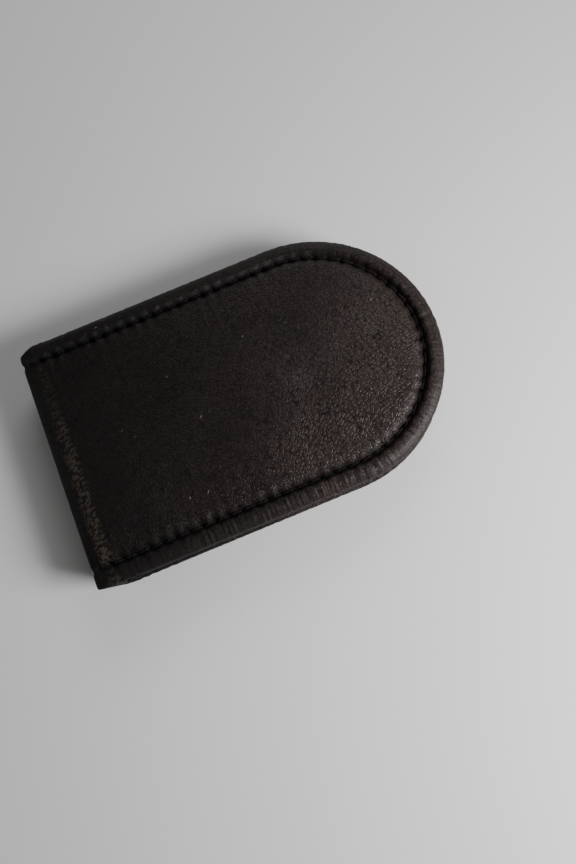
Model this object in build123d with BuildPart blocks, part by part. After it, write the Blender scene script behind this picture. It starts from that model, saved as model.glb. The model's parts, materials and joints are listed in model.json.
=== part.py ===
"""Magnetic leather money clip: two padded leather flaps joined by a folded spine, shown closed.

A flap is a sandwich. From its inner face outwards it holds a lining, a board with two magnets let
into it, a strip of tape over the magnets, a foam pad and a crowned cover. Lining and cover have
turned edges, sewn together round the flap with a lockstitch: needle thread outside, bobbin thread
inside. Cover and lining run on round the fold, where they are cut at two creases in this model.

Frame, in millimetres: +X runs from the fold to the round tips, +Z is up, and the origin is the
bottom centre of the closed clip.
"""

import os
from dataclasses import dataclass
from math import atan2, cos, degrees, pi, sin

from build123d import *

# ---- overall size -------------------------------------------------------------------------
length = 76.0  # fold to round tip
width = 49.0  # across the flaps
flap_gap = 0.6  # between the two linings when the clip is closed

# ---- leather --------------------------------------------------------------------------------
cover_leather = 1.0
cover_turning = 0.8  # skived edge of the cover, turned under
lining_leather = 0.8
lining_turning = 0.8  # skived edge of the lining, turned over
turning_width = 6.0  # how far the turned edges reach in from the flap's edge
cover_roll_radius = 0.85  # rounding of the cover's turned edge
lining_roll_radius = 0.72

# ---- padding and magnets ----------------------------------------------------------------------
board_clearance = 0.3  # from the board and pad to the turned edges
magnet_diameter = 12.0
magnet_thickness = 1.4  # and the board's, which the magnets fill from face to face
magnet_pocket_clearance = 0.1
magnet_rounding = 0.25
magnet_spacing = 19.0  # between the two magnets of a flap
magnets_from_tip = 25.0  # from the round tip to the line of the magnets
tape_thickness = 0.15
tape_margin = 1.5  # of tape past the magnets on every side
tape_corner = 3.0
crown_rise = 1.6  # of the cover over its rim
crown_shoulder_rise = 1.1  # of that, where the slope eases
crown_shoulder_run = 2.3
crown_plateau_run = 6.4  # from the crown's foot to its flat top
crown_foot_clearance = 0.2  # from the stitches' groove to the crown's foot
pad_clearance = 0.05

# ---- sewing ---------------------------------------------------------------------------------
seam_inset = 3.6  # from the flap's edge to the line of stitches
seam_groove_width = 0.8
seam_groove_depth = 0.4
stitch_pitch = 2.55
stitch_length = 2.05
needle_thread = 0.44
bobbin_thread = 0.38
stitch_end_rounding = 0.4  # of the thread's diameter
first_stitch = 1.75  # from a crease to the middle of the nearest stitch
spine_stitch_pitch = 2.5

# ---- fold -----------------------------------------------------------------------------------
spine_lean = 3.0  # how much further the upper flap reaches than the lower one
crease_clearance = 0.2  # between the spine and each flap
crease_end = 0.55  # from a crease's axis to the end of the flap's cover
crease_shoulder = 1.6  # from a crease's axis to the foot of the crown
ramp_start = 2.4  # the lining leaves the cover here, measured from the crease's axis
ramp_run = 3.4
lining_turning_clearance = 0.1  # from the foot of the ramp to the lining's turned edge
cover_turning_clearance = 0.2  # from the rising lining to the cover's turned edge
spine_edge_rounding = 0.35

# ---- what follows from those values ---------------------------------------------------------
fold_radius = (cover_leather + lining_leather) / 2  # half the leather that bends at a crease
lining_edge = lining_leather + lining_turning
cover_edge = cover_leather + cover_turning
rim_thickness = lining_edge + cover_edge
flap_thickness = rim_thickness + crown_rise
thickness = 2 * flap_thickness + flap_gap
cover_underside = rim_thickness - cover_leather
crease_height = rim_thickness - fold_radius  # of a crease's axis over the flap's inner face
half_width = width / 2
tip_x = length / 2
tip_centre_x = tip_x - half_width
upper_crease_x = -length / 2 + fold_radius
lower_crease_x = upper_crease_x + spine_lean
mid_height = thickness / 2
crown_foot = seam_inset + seam_groove_width / 2 + crown_foot_clearance
ramp_rise = cover_underside - lining_leather
turnings_start = ramp_start + ramp_run + lining_turning_clearance
cover_turning_start = ramp_start + ramp_run * lining_turning / ramp_rise + cover_turning_clearance
board_top = lining_leather + magnet_thickness
tape_width = magnet_diameter + 2 * tape_margin
past_the_edge = 5.0  # how far cutting shapes run past what they cut
same_place = 0.01  # lengths under this count as none
both_sides = (-1, 1)


@dataclass
class Flap:
    """One flap: its name, its inner face with the normal pointing outwards, and its crease."""

    name: str
    inner_face: Plane
    crease_x: float

    def level(self, height):
        """The plane at a height over the inner face."""
        return self.inner_face.offset(height)

    def side(self, y=0.0):
        """An upright plane along the flap: local x runs to the tip, local y away from the inner face."""
        face = self.inner_face
        across = face.x_dir.cross(face.z_dir)
        return Plane(origin=face.origin + across * y, x_dir=face.x_dir, z_dir=across)


lower = Flap("lower", Plane((0, 0, mid_height - flap_gap / 2), (1, 0, 0), (0, 0, -1)), lower_crease_x)
upper = Flap("upper", Plane((0, 0, mid_height + flap_gap / 2), (1, 0, 0), (0, 0, 1)), upper_crease_x)

crease_heights = (lower.level(crease_height).origin.Z, upper.level(crease_height).origin.Z)
spine_start = Vector(lower_crease_x, 0, crease_heights[0])
spine_end = Vector(upper_crease_x, 0, crease_heights[1])
spine_length = (spine_end - spine_start).length
spine_direction = (spine_end - spine_start).normalized()
# Local x runs up the spine, local y outwards, and the plane lies at mid-width.
spine_side = Plane(origin=spine_start, x_dir=spine_direction, z_dir=(0, -1, 0))
spine_tilt = degrees(atan2(spine_direction.X, spine_direction.Z))


def flap_plan(plane, inset, straight_side_x):
    """A flap's outline on a plane, drawn inset from the edge: straight sides and a round tip."""
    half = half_width - inset
    with BuildSketch(plane) as plan:
        with BuildLine():
            Polyline(
                (tip_centre_x, half),
                (straight_side_x, half),
                (straight_side_x, -half),
                (tip_centre_x, -half),
            )
            ThreePointArc((tip_centre_x, -half), (tip_centre_x + half, 0), (tip_centre_x, half))
        make_face()
    return plan.sketch


def spine_room(growth):
    """The closed spine's section grown all round, as wide as the clip: what a flap keeps clear of."""
    with BuildPart() as room:
        with BuildSketch(spine_side):
            with Locations((spine_length / 2, 0)):
                SlotCenterToCenter(spine_length, 2 * (fold_radius + growth))
        extrude(amount=half_width + past_the_edge, both=True)
    return room.part


def seam_stitches(flap):
    """Middle and direction of each stitch round a flap, in the flap's plan."""
    start_x = flap.crease_x + first_stitch
    radius = half_width - seam_inset
    straight = tip_centre_x - start_x
    total = 2 * straight + pi * radius
    count = round(total / stitch_pitch)
    for i in range(count + 1):
        along = total * i / count
        if along < straight:
            yield start_x + along, -radius, 0.0
        elif along > total - straight:
            yield start_x + total - along, radius, 180.0
        else:
            turn = (along - straight) / radius - pi / 2
            yield tip_centre_x + radius * cos(turn), radius * sin(turn), degrees(turn) + 90


def thread_stitch(diameter):
    """One visible stitch, lying along X."""
    with BuildPart() as stitch:
        Cylinder(diameter / 2, stitch_length, rotation=(0, 90, 0))
        fillet(stitch.edges().filter_by(GeomType.CIRCLE), diameter * stitch_end_rounding)
    return stitch.part


def crown_sections(flap, drop=0.0, inward=0.0):
    """Outlines of the crown from its foot to its flat top, lowered and drawn in for its underside."""
    steps = ((0.0, 0.0), (crown_shoulder_run, crown_shoulder_rise), (crown_plateau_run, crown_rise))
    for run, rise in steps:
        height = rim_thickness + rise - drop
        inset = crown_foot + run + inward
        yield flap_plan(flap.level(height), inset, flap.crease_x + crease_shoulder + run + inward)


def crown(sections):
    """A solid through the crown's outlines, each joined to the next by straight slopes."""
    sections = list(sections)
    with BuildPart() as body:
        for foot, top in zip(sections, sections[1:]):
            loft([foot.face(), top.face()], ruled=True)
    return body.part


def room_under_crown(flap):
    """The hollow under the crown, straight-sided where it meets the turned edges."""
    with BuildPart() as room:
        add(crown(crown_sections(flap, drop=cover_leather)))
        extrude(pocket_plan(flap), amount=flap_thickness, mode=Mode.INTERSECT)
    return room.part


def pocket_plan(flap):
    """Outline of the room inside the turned edges, at the level where the two leathers meet."""
    return flap_plan(flap.level(lining_edge), turning_width, flap.crease_x + turnings_start)


def outline_edges(part, straight_side_x):
    """The level edges of a block that follow the flap's outline, without those of its straight side."""
    level = part.edges().filter_by(lambda edge: abs(edge.bounding_box().size.Z) < same_place)
    return level.filter_by(lambda edge: edge.center().X > straight_side_x + same_place)


def seam_channel(flap, bottom, top):
    """The channel that the stitches lie in, run out past the crease."""
    end_x = flap.crease_x - past_the_edge
    outside = flap_plan(flap.level(bottom), seam_inset - seam_groove_width / 2, end_x)
    inside = flap_plan(flap.level(bottom), seam_inset + seam_groove_width / 2, end_x - past_the_edge)
    with BuildPart() as channel:
        extrude(outside, amount=top - bottom)
        extrude(inside, amount=top - bottom, mode=Mode.SUBTRACT)
    return channel.part


def cover_tongue(flap, end_x):
    """The single leather of the cover between its turned edges and the crease."""
    start_x = flap.crease_x + crease_end
    with BuildPart() as tongue:
        with BuildSketch(flap.level(cover_underside)):
            with Locations(((start_x + end_x) / 2, 0)):
                Rectangle(end_x - start_x, width)
        extrude(amount=cover_leather)
        fillet(tongue.edges().filter_by(Axis.X), spine_edge_rounding)
    return tongue.part


def make_cover(flap):
    """Crowned outer leather with its turned edge."""
    turning_x = flap.crease_x + cover_turning_start
    tongue = cover_tongue(flap, turning_x + cover_roll_radius)
    crown_top = crown(crown_sections(flap))
    hollow = room_under_crown(flap)
    channel = seam_channel(flap, rim_thickness - seam_groove_depth, rim_thickness + seam_groove_depth)
    spine_space = spine_room(crease_clearance)
    # The hollow is straight-sided up to where the crown's underside crosses the turned edge.
    crossing_rise = crown_shoulder_rise * (turning_width - crown_foot) / crown_shoulder_run
    with BuildPart() as cover:
        extrude(flap_plan(flap.level(lining_edge), 0, turning_x), amount=cover_edge)
        fillet(outline_edges(cover, turning_x), cover_roll_radius)
        add(tongue)
        add(crown_top)
        extrude(pocket_plan(flap), amount=cover_turning + crossing_rise, mode=Mode.SUBTRACT)
        add(hollow, mode=Mode.SUBTRACT)
        add(channel, mode=Mode.SUBTRACT)
        add(spine_space, mode=Mode.SUBTRACT)
    return cover


def lining_height(from_crease):
    """Height of the lining's inner face at a distance from the crease's axis, and its slope in degrees."""
    if from_crease >= ramp_start + ramp_run:
        return 0.0, 0.0
    if from_crease <= ramp_start:
        return ramp_rise, 0.0
    return ramp_rise * (ramp_start + ramp_run - from_crease) / ramp_run, -degrees(atan2(ramp_rise, ramp_run))


def lining_ramp(plane, crease_x, heights, ends):
    """Section of a band that follows the lining's inner face, between two heights over it."""
    below, above = heights
    start_x, end_x = ends
    high_x = crease_x + ramp_start
    low_x = high_x + ramp_run
    with BuildSketch(plane) as band:
        with BuildLine():
            Polyline(
                (start_x, ramp_rise + below),
                (high_x, ramp_rise + below),
                (low_x, below),
                (end_x, below),
                (end_x, above),
                (low_x, above),
                (high_x, ramp_rise + above),
                (start_x, ramp_rise + above),
                close=True,
            )
        make_face()
    return band.sketch


def lining_tongue(flap, end_x):
    """The lining between its turned edges and the crease, where it rises under the cover."""
    start_x = flap.crease_x + crease_end
    with BuildPart() as tongue:
        section = lining_ramp(flap.side(), flap.crease_x, (0, lining_leather), (start_x, end_x))
        extrude(section, amount=half_width, both=True)
        least_y = half_width - same_place
        side_edges = tongue.edges().filter_by(lambda edge: abs(edge.center().Y) > least_y)
        first_x = start_x + same_place
        last_x = end_x - same_place
        long_edges = side_edges.filter_by(lambda edge: first_x < edge.center().X < last_x)
        fillet(long_edges, spine_edge_rounding)
    return tongue.part


def ramp_channels(flap):
    """The seam's channel where the lining rises, on both sides of the flap."""
    start_x = flap.crease_x - past_the_edge
    end_x = flap.crease_x + turnings_start
    seam_y = half_width - seam_inset
    heights = (-seam_groove_depth, seam_groove_depth)
    with BuildPart() as channels:
        for y in (-seam_y, seam_y):
            band = lining_ramp(flap.side(y), flap.crease_x, heights, (start_x, end_x))
            extrude(band, amount=seam_groove_width / 2, both=True)
    return channels.part


def make_lining(flap):
    """Inner leather with its turned edge, rising under the cover next to the crease."""
    turning_x = flap.crease_x + turnings_start
    tongue = lining_tongue(flap, turning_x + lining_roll_radius)
    channel = seam_channel(flap, -seam_groove_depth, seam_groove_depth)
    rising_channels = ramp_channels(flap)
    spine_space = spine_room(crease_clearance)
    inside = flap_plan(flap.level(lining_leather), turning_width, turning_x - past_the_edge)
    with BuildPart() as lining:
        extrude(flap_plan(flap.level(0), 0, turning_x), amount=lining_edge)
        fillet(outline_edges(lining, turning_x), lining_roll_radius)
        extrude(inside, amount=lining_turning, mode=Mode.SUBTRACT)
        add(tongue)
        add(channel, mode=Mode.SUBTRACT)
        add(rising_channels, mode=Mode.SUBTRACT)
        add(spine_space, mode=Mode.SUBTRACT)
    return lining


def magnet_places(flap, height):
    """Where a flap's magnets stand."""
    x = tip_x - magnets_from_tip
    origin = flap.level(height).origin
    return [Location((x, side * magnet_spacing / 2, origin.Z)) for side in both_sides]


def board_plan(flap, height):
    """Outline of the board and of the pad's straight part."""
    inset = turning_width + board_clearance
    return flap_plan(flap.level(height), inset, flap.crease_x + turnings_start + board_clearance)


def make_board(flap):
    """Stiff board that keeps the flap flat, with a through pocket for each magnet."""
    with BuildPart() as board:
        extrude(board_plan(flap, lining_leather), amount=magnet_thickness)
        with Locations(*magnet_places(flap, lining_leather + magnet_thickness / 2)):
            Cylinder(magnet_diameter / 2 + magnet_pocket_clearance, 2 * magnet_thickness, mode=Mode.SUBTRACT)
    return board


def make_magnets(flap):
    """Two disc magnets."""
    with BuildPart() as magnets:
        with Locations(*magnet_places(flap, lining_leather + magnet_thickness / 2)):
            Cylinder(magnet_diameter / 2, magnet_thickness)
        fillet(magnets.edges().filter_by(GeomType.CIRCLE), magnet_rounding)
    return magnets


def tape_strip(flap, strip_thickness):
    """Strip over both magnets, lying on the board and trimmed to it."""
    with BuildPart() as strip:
        with BuildSketch(flap.level(board_top)):
            with Locations((tip_x - magnets_from_tip, 0)):
                RectangleRounded(tape_width, magnet_spacing + tape_width, tape_corner)
        extrude(amount=strip_thickness)
        extrude(board_plan(flap, lining_leather), amount=flap_thickness, mode=Mode.INTERSECT)
    return strip


def pad_envelope(flap):
    """What the cover leaves free for the pad."""
    inset = crown_foot + pad_clearance
    foot = flap_plan(flap.level(lining_leather), inset, flap.crease_x + crease_shoulder + pad_clearance)
    with BuildPart() as envelope:
        add(crown(crown_sections(flap, drop=cover_leather + pad_clearance, inward=pad_clearance)))
        extrude(foot, amount=cover_underside - pad_clearance - lining_leather)
    return envelope.part


def make_pad(flap):
    """Foam that fills the crown, with a step for the tape."""
    envelope = pad_envelope(flap)
    step = tape_strip(flap, tape_thickness + pad_clearance).part
    with BuildPart() as pad:
        extrude(board_plan(flap, board_top), amount=flap_thickness - board_top)
        add(envelope, mode=Mode.INTERSECT)
        add(step, mode=Mode.SUBTRACT)
    return pad


def make_needle_stitches(flap):
    """The stitches in the groove of a flap's cover."""
    z = flap.level(rim_thickness - seam_groove_depth + needle_thread / 2).origin.Z
    places = [Location((x, y, z), (0, 0, turn)) for x, y, turn in seam_stitches(flap)]
    stitch = thread_stitch(needle_thread)
    with BuildPart() as stitches:
        with Locations(*places):
            add(stitch)
    return stitches


def make_bobbin_stitches(flap):
    """The stitches in the groove of a flap's lining, without the two that the closed fold swallows."""
    outwards = flap.inner_face.z_dir.Z
    places = []
    for x, y, turn in list(seam_stitches(flap))[1:-1]:
        height, slope = lining_height(x - flap.crease_x)
        z = flap.level(height + seam_groove_depth - bobbin_thread / 2).origin.Z
        # The slope lies along +X, also on the side where the stitches run back to the fold.
        places.append(Location((x, y, z), (0, -outwards * slope, turn % 180)))
    stitch = thread_stitch(bobbin_thread)
    with BuildPart() as stitches:
        with Locations(*places):
            add(stitch)
    return stitches


def make_spine_leather(inner, outer, sewn_face):
    """The spine's leather between two heights over its middle, with the seam's grooves in one face."""
    past_the_ends = spine_length + 4 * fold_radius
    with BuildPart() as leather:
        with BuildSketch(spine_side):
            with Locations((spine_length / 2, 0)):
                SlotCenterToCenter(spine_length, 2 * fold_radius)
            with Locations((spine_length / 2, (inner + outer) / 2)):
                Rectangle(past_the_ends, outer - inner, mode=Mode.INTERSECT)
        extrude(amount=half_width, both=True)
        for side in both_sides:
            groove_place = spine_point(spine_length / 2, side * (half_width - seam_inset), sewn_face)
            with Locations(Location(groove_place, (0, spine_tilt, 0))):
                Box(2 * seam_groove_depth, seam_groove_width, past_the_ends, mode=Mode.SUBTRACT)
    return leather


def spine_point(along, y, height):
    """A place on the spine: how far up it, across the clip, and outwards from its middle."""
    return spine_start + spine_direction * along + Vector(0, y, 0) + spine_side.y_dir * height


def make_spine_stitches(diameter, height):
    """The visible stitches on one face of the spine."""
    points = [
        spine_point((spine_length + step * spine_stitch_pitch) / 2, side * (half_width - seam_inset), height)
        for side in both_sides
        for step in both_sides
    ]
    places = [Location(point, (0, spine_tilt - 90, 0)) for point in points]
    stitch = thread_stitch(diameter)
    with BuildPart() as stitches:
        with Locations(*places):
            add(stitch)
    return stitches


needle_height = fold_radius - seam_groove_depth + needle_thread / 2
bobbin_height = seam_groove_depth - fold_radius - bobbin_thread / 2
pieces = {
    "spine_cover": make_spine_leather(fold_radius - cover_leather, fold_radius, fold_radius),
    "spine_lining": make_spine_leather(-fold_radius, fold_radius - cover_leather, -fold_radius),
    "spine_needle_stitches": make_spine_stitches(needle_thread, needle_height),
    "spine_bobbin_stitches": make_spine_stitches(bobbin_thread, bobbin_height),
}
for flap in (lower, upper):
    pieces[f"{flap.name}_cover"] = make_cover(flap)
    pieces[f"{flap.name}_lining"] = make_lining(flap)
    pieces[f"{flap.name}_board"] = make_board(flap)
    pieces[f"{flap.name}_magnets"] = make_magnets(flap)
    pieces[f"{flap.name}_magnet_tape"] = tape_strip(flap, tape_thickness)
    pieces[f"{flap.name}_pad"] = make_pad(flap)
    pieces[f"{flap.name}_needle_stitches"] = make_needle_stitches(flap)
    pieces[f"{flap.name}_bobbin_stitches"] = make_bobbin_stitches(flap)

os.makedirs("parts", exist_ok=True)
for name, piece in pieces.items():
    piece.part.label = name
    export_step(piece.part, f"parts/{name}.step")

opening = degrees(atan2(spine_direction.Z, -spine_direction.X))
print(f"thickness {thickness:.2f}, creases at x {lower_crease_x:.2f} and {upper_crease_x:.2f}")
print(f"lower crease opens {opening:.4f} degrees, upper crease {180 - opening:.4f}")
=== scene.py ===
"""Looks of a magnetic leather money clip: padded covers, linings, a folded spine and the sewing.

Lengths are in metres, in the frame: +X runs from the fold to the round tips, +Z is up.
A flap's own directions are x along it, y across it, and a height outwards from its inner face.
The clip bends at two creases. The spine's cover holds the round of both bends, and each flap's
cover and lining start at a crease's axis, so the outside stays closed while the clip opens.
"""

import json
import math

import bmesh
import bpy
import numpy as np
from bpy.props import FloatProperty, FloatVectorProperty, IntProperty, PointerProperty
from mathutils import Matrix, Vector, noise


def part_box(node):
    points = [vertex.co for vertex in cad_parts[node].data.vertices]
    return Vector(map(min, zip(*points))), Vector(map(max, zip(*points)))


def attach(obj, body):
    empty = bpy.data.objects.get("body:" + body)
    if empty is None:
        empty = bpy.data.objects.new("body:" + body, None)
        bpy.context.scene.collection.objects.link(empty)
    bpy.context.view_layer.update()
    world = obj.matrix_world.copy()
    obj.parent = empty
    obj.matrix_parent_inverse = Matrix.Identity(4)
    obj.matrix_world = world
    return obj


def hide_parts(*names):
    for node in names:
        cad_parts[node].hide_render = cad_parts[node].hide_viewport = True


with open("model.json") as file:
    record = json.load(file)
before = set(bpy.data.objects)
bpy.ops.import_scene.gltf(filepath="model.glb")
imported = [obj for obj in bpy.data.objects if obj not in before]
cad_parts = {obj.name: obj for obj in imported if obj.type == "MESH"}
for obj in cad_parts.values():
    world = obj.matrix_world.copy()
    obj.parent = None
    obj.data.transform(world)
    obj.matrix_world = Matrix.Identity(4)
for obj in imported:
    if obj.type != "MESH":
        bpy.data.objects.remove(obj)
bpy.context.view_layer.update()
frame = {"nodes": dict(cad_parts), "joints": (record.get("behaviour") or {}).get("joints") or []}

bl_info = {
    "name": "Leather Money Clip",
    "version": (1, 0, 0),
    "blender": (4, 5, 0),
    "location": "View3D > Sidebar > Money Clip",
    "description": "Covers, linings, sewing and finishes of a padded magnetic money clip",
    "category": "Add Mesh",
}

MM = 0.001
HAIR = 0.02 * MM  # so far a hidden end dips under the surface that covers it
FLAPS = (("lower", "lower_crease", -1), ("upper", "upper_crease", 1))
COLUMNS_PER_STITCH = 8  # of the flaps' meshes
TUCK = 0.1 * MM  # so far a hidden column reaches past the crease's axis

# How often each pattern of the leather repeats in a metre.
PEBBLES = 1900.0
FINE_GRAIN = 2500.0
PORES = 4200.0
UNEVENNESS = 420.0
STRANDS = 2400.0
RIBS = 1100.0
CLOUDS = 75.0
RUBBING = 1400.0
SCRATCHES = 1700.0

# Each light's name, place, size and watts.
LIGHTS = (
    ("key", (0.15, -0.13, 0.125), (0.10, 0.085), 0.86),
    ("side", (-0.24, 0.10, 0.22), (0.08, 0.20), 0.07),
    ("back", (0.20, 0.40, 0.28), (0.30, 0.20), 0.85),
)


def millimetres(name, value, description):
    """A length property, given in millimetres."""
    return FloatProperty(name=name, default=value * MM, unit="LENGTH", precision=5, description=description)


def colour(name, value, description):
    """A colour property, given as linear red, green and blue."""
    return FloatVectorProperty(
        name=name, default=value, size=3, subtype="COLOR", min=0, max=1, description=description
    )


def share(name, value, description):
    """A property that is a share or another plain number."""
    return FloatProperty(name=name, default=value, description=description)


class LeatherSizes(bpy.types.PropertyGroup):
    """Sizes of the leather's shapes."""

    cover_leather: millimetres("Cover leather", 1.0, "Thickness of the outer leather")
    lining_leather: millimetres("Lining leather", 0.8, "Thickness of the inner leather")
    turning: millimetres("Turning", 5.9, "How far the turned edges reach in")
    rim_dome: millimetres("Rim dome", 0.5, "How much the rim swells between its edge and the seam")
    edge_width: millimetres("Edge width", 1.5, "Width of the cover's rounding at its edge")
    groove_depth: millimetres("Groove depth", 0.56, "How deep the thread pulls the cover in")
    fold_groove: share("Fold groove", 0.5, "Share of the groove's depth at the fold")
    groove_width: millimetres("Groove width", 0.62, "Half the width of the groove along the seam")
    lining_groove: millimetres("Lining groove", 0.34, "How deep the thread pulls the lining in")
    crown_start: millimetres("Crown start", 0.12, "From the seam to where the padding starts to swell")
    shoulder_run: millimetres("Shoulder run", 2.3, "Width of the crown's steep shoulder")
    shoulder_share: share("Shoulder share", 0.42, "Share of the crown's rise there")
    fold_run: millimetres("Fold run", 5.6, "From the fold to where the crown has its full height")
    fold_slope: FloatProperty(
        name="Fold slope",
        default=math.radians(36),
        subtype="ANGLE",
        description="Slope of the crown at the fold",
    )
    ramp_start: millimetres("Ramp start", 2.0, "From a crease to where the layers begin to part")
    ramp_end: millimetres("Ramp end", 6.2, "From a crease to where the turned edges are at full thickness")
    corner: millimetres("Fold corner", 1.05, "How far the rim draws in at a crease on the +y side")
    square_corner: share("Square corner", 0.15, "Share of that on the -y side")
    corner_run: millimetres("Fold corner run", 3.0, "Length over which the rim draws in")
    bend_corner: millimetres("Bend corner", 0.4, "How much further it draws in round the bend")
    pucker: share("Pucker", 0.4, "How much the needle holes deepen the groove")
    scallop: millimetres("Scallop", 0.3, "How far the crown's foot moves in at a needle hole")
    rim_wrinkle: millimetres("Rim wrinkles", 0.085, "Height of the small wrinkles across the rim")
    lining_edge: millimetres("Lining edge", 0.35, "How far the lining's edge stays inside the cover's")
    slant: millimetres("Slant", 0.2, "How far the groove sways from hole to hole")
    fold_wrinkle: millimetres("Fold wrinkles", 0.04, "Height of the wrinkles beside the fold")
    waviness: millimetres("Waviness", 0.07, "Slow unevenness of the padding")
    magnet_mark: millimetres("Magnet mark", 0.05, "How much a magnet shows through the lining")
    magnet_radius: millimetres("Magnet radius", 6.0, "Radius of a magnet")


class SewingSizes(bpy.types.PropertyGroup):
    """Sizes of the stitches."""

    length: millimetres("Stitch length", 2.3, "Length of one visible stitch")
    pitch: millimetres("Pitch", 2.55, "From one stitch to the next, before they are evened out")
    cad_length: millimetres("Straight length", 2.05, "Length of a stitch in the frame's parts")
    needle_thread: millimetres("Needle thread", 0.46, "Thickness of the outer thread")
    bobbin_thread: millimetres("Bobbin thread", 0.38, "Thickness of the inner thread")
    spine_pitch: millimetres("Spine pitch", 2.5, "From one stitch to the next on the spine")
    end_dip: millimetres("End dip", 0.34, "How deep the ends of a stitch dive into the leather")
    twist: share("Twist", 1.6, "Turns of the two plies in one stitch")
    seed: IntProperty(name="Seed", default=7, description="Seed of the stitches' unevenness")


class Finishes(bpy.types.PropertyGroup):
    """Colours of the materials."""

    leather: colour("Leather", (0.0325, 0.0200, 0.0168), "Body of the near-black leather")
    # Near-black of the grain's furrows, partly their own colour and partly painted shade, and of the painted
    # shade in the seam's groove.
    leather_deep: colour("Leather furrows", (0.0006, 0.0004, 0.0004), "Furrows of the grain")
    leather_worn: colour("Worn leather", (0.05, 0.039, 0.031), "Leather rubbed at the fold and the edges")
    scuff: colour("Scuffs", (0.28, 0.26, 0.24), "Tiny scratched spots")
    thread: colour("Thread", (0.0035, 0.003, 0.003), "Black thread")
    board: colour("Board", (0.11, 0.062, 0.034), "Bonded leather fibre")
    foam: colour("Foam", (0.033, 0.033, 0.036), "Grey foam")
    plating: colour("Plating", (0.55, 0.53, 0.49), "Nickel plating")
    tape: colour("Tape", (0.57, 0.53, 0.44), "Cotton tape")
    floor: colour("Floor", (0.80, 0.80, 0.80), "Pale floor")


class StageSettings(bpy.types.PropertyGroup):
    """Floor, lights and camera."""

    floor_size: FloatProperty(name="Floor size", default=3.0, unit="LENGTH", description="Side of the floor")
    lens: share("Lens", 33.333, "Focal length of the camera, in millimetres")
    camera_place: FloatVectorProperty(
        name="Camera place",
        default=(0.00294, -0.04466, 0.15122),
        subtype="TRANSLATION",
        description="Where the camera stands",
    )
    camera_turn: FloatVectorProperty(
        name="Camera turn",
        default=(0.2206, 0.0796, -0.3831),
        subtype="EULER",
        description="How the camera is turned",
    )
    world: share("World", 0.06, "Strength of the light from all round")


GROUPS = {
    "clip_leather": LeatherSizes,
    "clip_sewing": SewingSizes,
    "clip_finishes": Finishes,
    "clip_stage": StageSettings,
}


# ---- node trees -----------------------------------------------------------------------------


class Socket:
    """An output socket that takes part in expressions: each operation adds a Math node."""

    def __init__(self, recipe, socket):
        self.recipe = recipe
        self.socket = socket

    def math(self, operation, *values):
        inputs = dict(enumerate((self, *values)))
        return self.recipe.add("ShaderNodeMath", {"operation": operation}, inputs)

    def other(self, name):
        """Another output of the same node."""
        return Socket(self.recipe, self.socket.node.outputs[name])

    def __add__(self, value):
        return self.math("ADD", value)

    def __radd__(self, value):
        return self.math("ADD", value)

    def __sub__(self, value):
        return self.math("SUBTRACT", value)

    def __rsub__(self, value):
        return self.recipe.add("ShaderNodeMath", {"operation": "SUBTRACT"}, {0: value, 1: self})

    def __mul__(self, value):
        return self.math("MULTIPLY", value)

    def __rmul__(self, value):
        return self.math("MULTIPLY", value)

    def __truediv__(self, value):
        return self.math("DIVIDE", value)



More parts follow.
